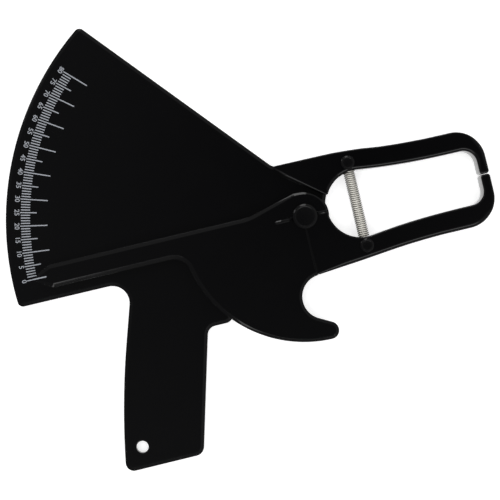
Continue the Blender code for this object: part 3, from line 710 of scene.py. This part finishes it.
# %% Lever moulding
RAISED_FOOT = 0.8
lever_piece = slab("lever_moulding", lever_rows(), LEVER_BACK, LEVER_FRONT, lever_edge, BEVEL, lever_fall)
lower_arm = slab("lower_arm", lower_rows, 0, DEPTH, lower_edge, shallow=shallow_edge)
combine(lower_arm, sharp_slab("relief", relief_rows, -1, LEVER_BACK + GAP), "DIFFERENCE")
combine(lever_piece, lower_arm, "UNION")
edge_path = even_path(np.array([(RAISED_EDGE, -1.5), (RAISED_EDGE, notch_top + 1.0)]))
combine(lever_piece, soft_foot("edge_foot", edge_path, LEVER_FRONT, RAISED_FOOT), "UNION")
print("Lever with its lower arm:", len(lever_piece.data.polygons), "faces")

# %% Rib along the jaw line, and the lever's holes
RIB_HALF, RIB_END = 1.0, -17.0
RIB_PROUD, RIB_EDGE = 0.5, 0.8
rib_start = ROOT[0] - ROOT_RADIUS - GAP
rib_rows = plain(np.vstack([
    [(rib_start, -RIB_HALF), (rib_start, RIB_HALF)],
    arc((RIB_END, 0), RIB_HALF, 90, 270),
]))
combine(lever_piece, slab("rib", rib_rows, LEVER_BACK + 1, DEPTH + RIB_PROUD, RIB_EDGE, SLOPE), "UNION")
combine(lever_piece, rim_hole("bore", (0, 0), PIVOT_RADIUS + GAP, LEVER_BACK, DEPTH), "DIFFERENCE")
cut_spring_seat(lever_piece, -1)
weld(lever_piece.data)
print("Lever moulding:", len(lever_piece.data.polygons), "faces")

# %% [markdown]
# ## Pins
#
# The pivot pin and the two spring pins are headed pins of black acetal. Each head is a disc inside a sloping rim,
# which is what catches the light as a bright ring. A pin is a profile turned round its axis.

# %% Headed pins
DISH = 0.15
CHAMFER = 0.3
POLE = 0.05


def headed_pin(name, centre, radius, head, height, rim, seat, end):
    """A pin turned from its profile: shank, head, sloping rim and a disc set a little below the rim.

    The rim's section is the slope's profile times the rim's width, and falls inwards by a cosine to the disc.
    """
    top = seat + height
    inset, drop = profile_of(SLOPE)
    outer = np.column_stack([head - rim * inset, top - rim * drop])[::-1]
    s = np.linspace(0, 1, 6)[1:]
    inner = np.column_stack([head - rim - 0.5 * rim * s, top - DISH * (1 - np.cos(math.pi * s)) / 2])
    shank = [(POLE, end), (radius - CHAMFER, end), (radius, end + CHAMFER), (radius, seat), (head, seat)]
    return turned(name, np.vstack([shank, outer, inner, [(POLE, top - DISH)]]), centre)


# a head's radius, height and rim
PIVOT_HEAD = (7.15, 1.5, 1.2)
SPRING_HEAD = (4.0, 1.2, 0.9)
PIVOT_SEAT = DEPTH + 0.4
pivot_piece = headed_pin("pivot_pin_turned", (0, 0), PIVOT_RADIUS, *PIVOT_HEAD, PIVOT_SEAT, 0)
upper_pin = headed_pin("upper_pin_turned", (SPRING_X, SPRING_PIN_Y), SHANK, *SPRING_HEAD, DEPTH + GAP, GAP)
lower_pin = headed_pin("lower_pin_turned", (SPRING_X, -SPRING_PIN_Y), SHANK, *SPRING_HEAD, DEPTH + GAP, GAP)
print("Pins:", [p.name for p in (pivot_piece, upper_pin, lower_pin)])

# %% [markdown]
# ## Tension spring
#
# The spring is one nickel-plated wire: 33 close curls of 5.7 mm with a loop at each end that goes round its pin.
# Its centre line is worked out as one array, and a circle is then carried along it. A screw modifier would make
# the curls too, but not the loops that grow out of them. Close curls nearly touch, so the wire is drawn thick.

# %% Centre line of the spring
CURLS = 33
PITCH = 1.19
CURL_RADIUS = 2.85
WIRE_SHOWN = 0.48
CURL_POINTS = 22
LOOP_END = -40


def spring_line():
    """The spring's centre line about its own middle, from the lower loop to the upper one.

    The curls are a helix about Y. At each end it slows down over a quarter turn, with its radius easing to the
    loop's, and a circle in the XY plane carries on round the pin. The lower half is the upper one turned half
    round the Z axis.
    """
    half = CURLS / 2
    turns = np.arange(0, half + 1e-9, 1 / CURL_POINTS)
    angle = np.radians(90 + 360 * (turns - half))
    coil = np.column_stack([np.cos(angle), turns * PITCH / CURL_RADIUS, np.sin(angle)]) * CURL_RADIUS
    end = half * PITCH
    share = np.linspace(0, math.pi / 2, 9)[1:]
    angle = math.pi / 2 * (1 + np.sin(share))
    rise = SPRING_PIN_Y - end - LOOP_RADIUS / 2
    radius = CURL_RADIUS + (LOOP_RADIUS - CURL_RADIUS) * np.sin(share)
    lead = np.column_stack([np.cos(angle) * radius, end + rise * (1 - np.cos(share)), np.sin(angle) * radius])
    loop = np.radians(np.arange(180, LOOP_END - 1, -10))
    ring = np.column_stack([
        np.cos(loop) * LOOP_RADIUS, SPRING_PIN_Y + np.sin(loop) * LOOP_RADIUS, np.zeros(len(loop)),
    ])
    upper = np.vstack([coil, lead, ring])
    return np.vstack([upper[:0:-1] * np.array([-1, -1, 1]), upper])


# %% Wire along a line


def tube(name, line, radius, sides=12):
    """A round wire along a line: at each point a circle stands at right angles to the line's direction.

    The circle's first axis is at right angles to the direction and to the line's bend, and its second one to both.
    Where the bend changes sides, the first axis is turned back, so that the tube doesn't twist.
    """
    direction = unit(np.gradient(line, axis=0))
    bend = np.gradient(direction, axis=0)
    side = unit(np.cross(direction, bend))
    flip = np.sign((side[1:] * side[:-1]).sum(1))
    flip[flip == 0] = 1
    side[1:] *= np.cumprod(flip)[:, None]
    other = np.cross(direction, side)
    around = way(np.arange(sides) * 360 / sides)
    circle = around[:, :1, None] * side[None] + around[:, 1:, None] * other[None]
    grid = line[:, None] + radius * circle.transpose(1, 0, 2)
    return place(name, grid_mesh(name, grid))


spring_points = spring_line() + np.array([SPRING_X, 0, DEPTH / 2])
spring_piece = tube("spring_wire", spring_points, WIRE_SHOWN)
print("Spring:", len(spring_points), "points,", len(spring_piece.data.polygons), "faces")

# %% [markdown]
# ## Printed scale
#
# The scale runs from 0 to 80 mm of jaw opening along the sector's rim. It is pad printed, so it is a thin film of
# pale ink that stands on the plastic. A line every millimetre, a longer one every five and the longest every ten
# are boxes at their angles, and the plain numbers are text turned into a mesh. Nothing else is printed.

# %% Angles and radii of the scale
SCALE_START, SCALE_ANGLE, SCALE_TOP = 179.62, 43.94, 80
ZERO_TURN = 0.15
DRAWN_IN = 0.0012


def scale_way(value):
    """Direction of a value, at even angles from the start. The zero line is turned a little to meet the index."""
    return way(SCALE_START - SCALE_ANGLE * value / SCALE_TOP + ZERO_TURN * (value == 0))


def drawn_in(value):
    """How far the print lies nearer to the pivot past 40 mm: it grows with the square of what is past."""
    return DRAWN_IN * np.clip(value - 40, 0, None) ** 2


# %% Lines of the scale
INK = 0.02
SHORT, LONG, LONGEST = 160.9, 157.0, 150.8
LINE_END, LONG_END = 166.3, 166.8
LINE_HALF = 0.32


def boxes(name, ends, half_width, low, high):
    """Flat boxes from one end point to another: the ends are moved sideways by the half width, at two heights."""
    direction = unit(ends[:, 1] - ends[:, 0])
    side = np.column_stack([-direction[:, 1], direction[:, 0]]) * half_width
    flat = np.stack([ends[:, 0] - side, ends[:, 1] - side, ends[:, 1] + side, ends[:, 0] + side], axis=1)
    corners = np.zeros((len(ends), 2, 4, 3))
    corners[..., :2] = flat[:, None]
    corners[..., 2] = np.array([low, high])[None, :, None]
    pattern = np.array([(3, 2, 1, 0), (4, 5, 6, 7), (0, 1, 5, 4), (1, 2, 6, 5), (2, 3, 7, 6), (3, 0, 4, 7)])
    faces = pattern[None] + 8 * np.arange(len(ends))[:, None, None]
    mesh = bpy.data.meshes.new(name)
    mesh.from_pydata((corners.reshape(-1, 3) * MM).tolist(), [], faces.reshape(-1, 4).tolist())
    return place(name, mesh)


marks = np.arange(SCALE_TOP + 1)
inner_end = np.where(marks % 10 == 0, LONGEST, np.where(marks % 5 == 0, LONG, SHORT))
outer_end = np.where(marks % 5 == 0, LONG_END, LINE_END)
radii = np.stack([inner_end, outer_end], axis=1) - drawn_in(marks)[:, None]
ends = scale_way(marks)[:, None] * radii[..., None]
scale_lines = boxes("scale_lines", ends, LINE_HALF, PLATE - INK, PLATE + INK)
print("Scale lines:", len(marks))

# %% Numbers of the scale
NUMBER_HEIGHT, FIGURE_SHARE = 2.75, 0.7
NUMBER_BOLD = 0.05
NUMBER_RADIUS = 168.75


def number_mesh(value):
    """A number's mesh, made from text: its size is the number's height over the share that figures take of it."""
    text = bpy.data.curves.new("number", "FONT")
    text.body = str(value)
    text.size = NUMBER_HEIGHT / FIGURE_SHARE * MM
    text.align_x = "CENTER"
    text.align_y = "CENTER"
    text.extrude = INK * MM
    text.offset = NUMBER_BOLD * MM
    text.resolution_u = 6
    shown = place("number", text)
    bpy.context.view_layer.update()
    graph = bpy.context.evaluated_depsgraph_get()
    mesh = bpy.data.meshes.new_from_object(shown.evaluated_get(graph))
    bpy.data.objects.remove(shown, do_unlink=True)
    return mesh


def place_numbers(values):
    """One mesh of all numbers: each is turned so that its top points to the pivot, and moved onto its radius."""
    joined = bmesh.new()
    for value in values:
        mesh = number_mesh(value)
        flat = np.zeros(len(mesh.vertices) * 3)
        mesh.vertices.foreach_get("co", flat)
        flat = flat.reshape(-1, 3) / MM
        up = -scale_way(value)
        across = np.array([up[1], -up[0]])
        placed = flat[:, :1] * across + (flat[:, 1:2] - NUMBER_RADIUS + drawn_in(value)) * up
        placed = np.column_stack([placed, PLATE + flat[:, 2]]) * MM
        mesh.vertices.foreach_set("co", placed.ravel())
        joined.from_mesh(mesh)
    numbers = bpy.data.meshes.new("scale_numbers")
    joined.to_mesh(numbers)
    joined.free()
    weld(numbers, 0.001)
    numbers.shade_flat()
    return place("scale_numbers", numbers)


scale_numbers = place_numbers(range(0, SCALE_TOP + 1, 5))
print("Numbers:", len(scale_numbers.data.polygons), "faces")

# %% Index line on the pointer
INDEX = np.array([[(-161.6, 0.55), (-154.2, 0.45)]])
INDEX_HALF = 0.35
index_line = boxes("index_line", INDEX, INDEX_HALF, LEVER_FRONT - INK, LEVER_FRONT + INK)
print("Index line:", len(index_line.data.polygons), "faces")

# %% [markdown]
# ## Finishes
#
# Each finish starts from its real material. Colours are sRGB hex values that one function turns to linear. The
# patterns read Object coordinates, so their scales are real sizes, and one function adds a node.

# %% Colour and node helpers


def hex_colour(code):
    """Linear colour from an sRGB hex value: each channel is divided by 12.92 or raised to the power 2.4."""
    channels = np.array([int(code[i:i + 2], 16) for i in (1, 3, 5)]) / 255
    linear = np.where(channels <= 0.04045, channels / 12.92, ((channels + 0.055) / 1.055) ** 2.4)
    return (*linear.tolist(), 1.0)


def add_node(tree, kind, inputs=None, **settings):
    """A node with its settings, and its inputs set to values or linked to other nodes' outputs."""
    node = tree.nodes.new(kind)
    for name, value in settings.items():
        setattr(node, name, value)
    for name, value in (inputs or {}).items():
        if isinstance(value, bpy.types.NodeSocket):
            tree.links.new(value, node.inputs[name])
        else:
            node.inputs[name].default_value = value
    return node


def new_finish(name, **values):
    """A material with a Principled shader: returns the material, its tree and the shader."""
    finish = bpy.data.materials.new(name)
    finish.use_nodes = True
    tree = finish.node_tree
    shader = tree.nodes["Principled BSDF"]
    for key, value in values.items():
        shader.inputs[key.replace("_", " ")].default_value = value
    return finish, tree, shader


def per_mm(size):
    """Noise scale for features of a size in millimetres, as Object coordinates are in metres."""
    return 1 / (size * MM)


# %% [markdown]
# ### Glossy moulded ABS
#
# Black ABS out of a polished mould is almost a mirror. What gives it away as plastic is a faint waviness over
# about a centimetre where it shrank, a fine orange peel, and slightly duller patches where it was handled.

# %% Glossy black ABS
glossy_abs, tree, shader = new_finish(
    "glossy_moulded_black_abs", Base_Color=hex_colour("#040405"), IOR=1.53, Specular_IOR_Level=0.5,
)
spot = add_node(tree, "ShaderNodeTexCoord").outputs["Object"]
patches = add_node(tree, "ShaderNodeTexNoise", {"Vector": spot, "Scale": per_mm(22), "Detail": 4.0})
dullness = add_node(
    tree, "ShaderNodeMapRange",
    {"Value": patches.outputs["Fac"], "From Min": 0.35, "From Max": 0.75, "To Min": 0.08, "To Max": 0.15},
)
tree.links.new(dullness.outputs["Result"], shader.inputs["Roughness"])
waves = add_node(tree, "ShaderNodeTexNoise", {"Vector": spot, "Scale": per_mm(11), "Detail": 1.0})
peel = add_node(tree, "ShaderNodeTexNoise", {"Vector": spot, "Scale": per_mm(0.9), "Detail": 2.0})
wavy = add_node(tree, "ShaderNodeBump", {"Height": waves.outputs["Fac"], "Strength": 1.0, "Distance": 0.012 * MM})
skin_bump = add_node(
    tree, "ShaderNodeBump",
    {"Height": peel.outputs["Fac"], "Strength": 1.0, "Distance": 0.001 * MM, "Normal": wavy.outputs["Normal"]},
)
tree.links.new(skin_bump.outputs["Normal"], shader.inputs["Normal"])
print("Finish:", glossy_abs.name)

# %% [markdown]
# ### Acetal pins
#
# The pins are acetal, which is waxier and a little bluish beside the ABS, with fine turning marks left by the
# mould's insert. It scatters a little more light, so its discs read paler than the mouldings round them.

# %% Black acetal
acetal, tree, shader = new_finish("moulded_black_acetal", Base_Color=hex_colour("#060607"), IOR=1.48)
spot = add_node(tree, "ShaderNodeTexCoord").outputs["Object"]
grain = add_node(tree, "ShaderNodeTexNoise", {"Vector": spot, "Scale": per_mm(0.5), "Detail": 3.0})
fine = add_node(tree, "ShaderNodeBump", {"Height": grain.outputs["Fac"], "Strength": 1.0, "Distance": 0.004 * MM})
tree.links.new(fine.outputs["Normal"], shader.inputs["Normal"])
mottle = add_node(tree, "ShaderNodeMapRange", {"Value": grain.outputs["Fac"], "To Min": 0.14, "To Max": 0.24})
tree.links.new(mottle.outputs["Result"], shader.inputs["Roughness"])
print("Finish:", acetal.name)

# %% [markdown]
# ### Nickel-plated wire
#
# Spring wire is drawn through a die before it is plated, so it keeps faint lines along its length. Its colour has
# painted light in it: near white where the wire faces up, as a painted highlight, and dark between the curls, where
# it faces sideways and down, as painted shade.

# %% Nickel-plated spring wire
nickel, tree, shader = new_finish("nickel_plated_spring_wire", Metallic=0.35)
places = add_node(tree, "ShaderNodeTexCoord").outputs
side = add_node(tree, "ShaderNodeSeparateXYZ", {"Vector": places["Normal"]})
# painted light: the wire's colour goes from dark where its normal points sideways or down to near white where it
# points up
painted_top_light = add_node(tree, "ShaderNodeMapRange", {"Value": side.outputs["Z"], "From Min": 0.25, "From Max": 0.85})
plating_with_painted_light = add_node(tree, "ShaderNodeMix", {"Factor": painted_top_light.outputs["Result"]}, data_type="RGBA")
plating_with_painted_light.inputs["A"].default_value = hex_colour("#2e2b27")
plating_with_painted_light.inputs["B"].default_value = hex_colour("#fffcf2")
tree.links.new(plating_with_painted_light.outputs["Result"], shader.inputs["Base Color"])
clouds = add_node(tree, "ShaderNodeTexNoise", {"Vector": places["Object"], "Scale": per_mm(1.6), "Detail": 5.0})
dullness = add_node(
    tree, "ShaderNodeMapRange",
    {"Value": clouds.outputs["Fac"], "From Min": 0.3, "From Max": 0.7, "To Min": 0.2, "To Max": 0.42},
)
tree.links.new(dullness.outputs["Result"], shader.inputs["Roughness"])
drawn = add_node(tree, "ShaderNodeTexNoise", {"Vector": places["Object"], "Scale": per_mm(0.12), "Detail": 2.0})
lines = add_node(tree, "ShaderNodeBump", {"Height": drawn.outputs["Fac"], "Strength": 0.6, "Distance": 0.004 * MM})
tree.links.new(lines.outputs["Normal"], shader.inputs["Normal"])
print("Finish:", nickel.name)

# %% [markdown]
# ### Stamped steel
#
# The washer and the push-on ring are stamped from rolled sheet. Rolling leaves fine lines in one direction, and
# tumbling after the stamping breaks them up a little.

# %% Stamped steel
steel, tree, shader = new_finish("rolled_and_stamped_steel", Base_Color=hex_colour("#b9babb"), Metallic=1.0)
spot = add_node(tree, "ShaderNodeTexCoord").outputs["Object"]
stretch = add_node(tree, "ShaderNodeMapping", {"Vector": spot, "Scale": (1.0, 14.0, 1.0)}).outputs["Vector"]
rolled = add_node(tree, "ShaderNodeTexNoise", {"Vector": stretch, "Scale": per_mm(2.5), "Detail": 4.0})
dullness = add_node(tree, "ShaderNodeMapRange", {"Value": rolled.outputs["Fac"], "To Min": 0.28, "To Max": 0.5})
tree.links.new(dullness.outputs["Result"], shader.inputs["Roughness"])
ridges = add_node(tree, "ShaderNodeBump", {"Height": rolled.outputs["Fac"], "Strength": 0.7, "Distance": 0.01 * MM})
tree.links.new(ridges.outputs["Normal"], shader.inputs["Normal"])
print("Finish:", steel.name)

# %% [markdown]
# ### Printing ink
#
# Pad-printing ink is matt beside the plastic, and never quite opaque: the film is thinner at some places, where
# the black shows through a little.

# %% Pale pad-printing ink
ink, tree, shader = new_finish("pale_pad_printing_ink", Roughness=0.62, IOR=1.5)
spot = add_node(tree, "ShaderNodeTexCoord").outputs["Object"]
cover = add_node(tree, "ShaderNodeTexNoise", {"Vector": spot, "Scale": per_mm(0.8), "Detail": 3.0})
tint = add_node(tree, "ShaderNodeMix", {"Factor": cover.outputs["Fac"]}, data_type="RGBA")
tint.inputs["A"].default_value = hex_colour("#90939a")
tint.inputs["B"].default_value = hex_colour("#a9adb3")
tree.links.new(tint.outputs["Result"], shader.inputs["Base Color"])
print("Finish:", ink.name)

# %% [markdown]
# ## What rides on what
#
# Every piece is given its body, its finish and the CAD node that it stands for. The washer and the push-on ring
# keep their CAD meshes, which are already right, and only get the better steel.

# %% Bodies, finishes and the nodes that the pieces stand for
pieces = [
    (frame_piece, "frame_body", glossy_abs, "black_plastic", "frame"),
    (lever_piece, "lever_body", glossy_abs, "black_plastic", "lever"),
    (pivot_piece, "frame_body", acetal, "pin_plastic", "pivot_pin"),
    (upper_pin, "spring_anchor", acetal, "pin_plastic", "upper_spring_pin"),
    (lower_pin, "lever_body", acetal, "pin_plastic", "lower_spring_pin"),
    (spring_piece, None, nickel, "nickel_wire", "tension_spring"),
    (scale_lines, "frame_body", ink, None, None),
    (scale_numbers, "frame_body", ink, None, None),
    (index_line, "lever_body", ink, None, None),
]
for piece, body, finish, slot, node in pieces:
    piece.data.materials.clear()
    piece.data.materials.append(finish)
    if body:
        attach(piece, body)
    if node:
        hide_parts(node)
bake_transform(spring_piece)
for name in ("pivot_washer", "pivot_retainer"):
    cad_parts[name].data.materials.clear()
    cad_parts[name].data.materials.append(steel)
print("Pieces:", len(pieces), "and two CAD nodes with steel")

# %% [markdown]
# ## Table and light
#
# The table is white and lit evenly. Straight overhead it is dark, as above a copy stand, which is why the polished
# black faces stay black and only their shaped edges catch the light. Four soft lamps stand well to the sides and
# give the plain level. Polished faces don't mirror them, but they mirror three weak strips, which draw the thin
# bright lines along the bevels.

# %% White table
TABLE_REACH = 2
TABLE_SHADE, TABLE_GLOW = 0.8, 0.64
floor = place("table_top", bpy.data.meshes.new("table_top"))
corners = [(x * TABLE_REACH, y * TABLE_REACH, 0) for x, y in ((-1, -1), (1, -1), (1, 1), (-1, 1))]
floor.data.from_pydata(corners, [], [(0, 1, 2, 3)])
white, tree, shader = new_finish(
    "white_laminate_table", Base_Color=(TABLE_SHADE, TABLE_SHADE, TABLE_SHADE, 1), Roughness=0.9,
    Specular_IOR_Level=0.0, Emission_Color=(1, 1, 1, 1),
)
rays = add_node(tree, "ShaderNodeLightPath").outputs
seen = rays["Is Camera Ray"]
for ray in ("Is Glossy Ray", "Is Transmission Ray"):
    seen = add_node(tree, "ShaderNodeMath", {0: seen, 1: rays[ray]}, operation="MAXIMUM").outputs[0]
glow = add_node(tree, "ShaderNodeMath", {0: seen, 1: TABLE_GLOW}, operation="MULTIPLY")
tree.links.new(glow.outputs[0], shader.inputs["Emission Strength"])
# the table is clear from below, so that the flat back can be seen
below = add_node(tree, "ShaderNodeNewGeometry").outputs["Backfacing"]
clear = add_node(tree, "ShaderNodeBsdfTransparent").outputs["BSDF"]
top_side = add_node(tree, "ShaderNodeMixShader", {"Fac": below, 1: shader.outputs["BSDF"], 2: clear})
tree.links.new(top_side.outputs["Shader"], tree.nodes["Material Output"].inputs["Surface"])
floor.data.materials.append(white)
print("Table:", white.name)

# %% Sky that is dark overhead
DARK_WAY = unit(np.array([0.10, 0.06, 1.0]))
SKY_DARK, SKY_PALE, SKY_TURN = 0.018, 0.21, 0.6
SHADED_SIDE = 10
world = bpy.data.worlds.new("studio")
bpy.context.scene.world = world
world.use_nodes = True
tree = world.node_tree
background = tree.nodes["Background"]
direction = add_node(tree, "ShaderNodeTexCoord").outputs["Generated"]
facing, side = (
    add_node(tree, "ShaderNodeVectorMath", {0: direction, 1: tuple(out)}, operation="DOT_PRODUCT").outputs["Value"]
    for out in (DARK_WAY.tolist(), [*way(SHADED_SIDE).tolist(), 0.0])
)
angle = add_node(tree, "ShaderNodeMath", {0: facing}, operation="ARCCOSINE").outputs[0]
level, shade = (
    add_node(
        tree, "ShaderNodeMapRange",
        {"Value": value, "From Min": low, "From Max": high, "To Min": least, "To Max": most},
    ).outputs["Result"]
    for value, low, high, least, most in ((angle, 0.0, SKY_TURN, SKY_DARK, SKY_PALE), (side, -0.8, 0.0, 0.5, 1.0))
)
strength = add_node(tree, "ShaderNodeMath", {0: level, 1: shade}, operation="MULTIPLY")
tree.links.new(strength.outputs[0], background.inputs["Strength"])
background.inputs["Color"].default_value = (1, 1, 1, 1)
print("Sky is darkest along", DARK_WAY.round(2))

# %% Soft lamps at the sides
LAMP_DISTANCE = 1.4
LAMP_AIM = np.array([-0.03, 0, 0.01])


def soft_lamp(name, azimuth, elevation, width, height, power, mirrored_too):
    """An area lamp on a sphere round the caliper's middle, turned to face it."""
    lamp = bpy.data.lights.new(name, "AREA")
    lamp.shape = "RECTANGLE"
    lamp.size, lamp.size_y = width, height
    lamp.energy = power
    shown = bpy.data.objects.new(name, lamp)
    flat = way(azimuth) * math.cos(math.radians(elevation))
    out = np.array([flat[0], flat[1], math.sin(math.radians(elevation))])
    shown.location = LAMP_AIM + out * LAMP_DISTANCE
    shown.rotation_euler = (math.radians(90 - elevation), 0, math.radians(azimuth + 90))
    shown.visible_glossy = mirrored_too
    bpy.context.scene.collection.objects.link(shown)


# name, azimuth, elevation, width, height, watts, and whether polished faces mirror the lamp
LAMPS = [
    ("lamp_upper_left", 140, 55, 1.2, 1.2, 7.3, False),
    ("lamp_upper_right", 45, 55, 1.2, 1.2, 4.9, False),
    ("lamp_lower_left", 225, 55, 1.2, 1.2, 4.9, False),
    ("lamp_lower_right", 310, 55, 1.2, 1.2, 3.7, False),
    ("strip_above", 84, 20, 0.58, 0.42, 1.5, True),
    ("strip_left", 138, 18, 0.30, 0.26, 0.5, True),
    ("strip_below", 265, 57, 1.30, 0.30, 1.8, True),
]
for row in LAMPS:
    soft_lamp(*row)
print("Lamps:", len(LAMPS))

# %% Finish
bpy.context.scene.view_settings.view_transform = "Standard"
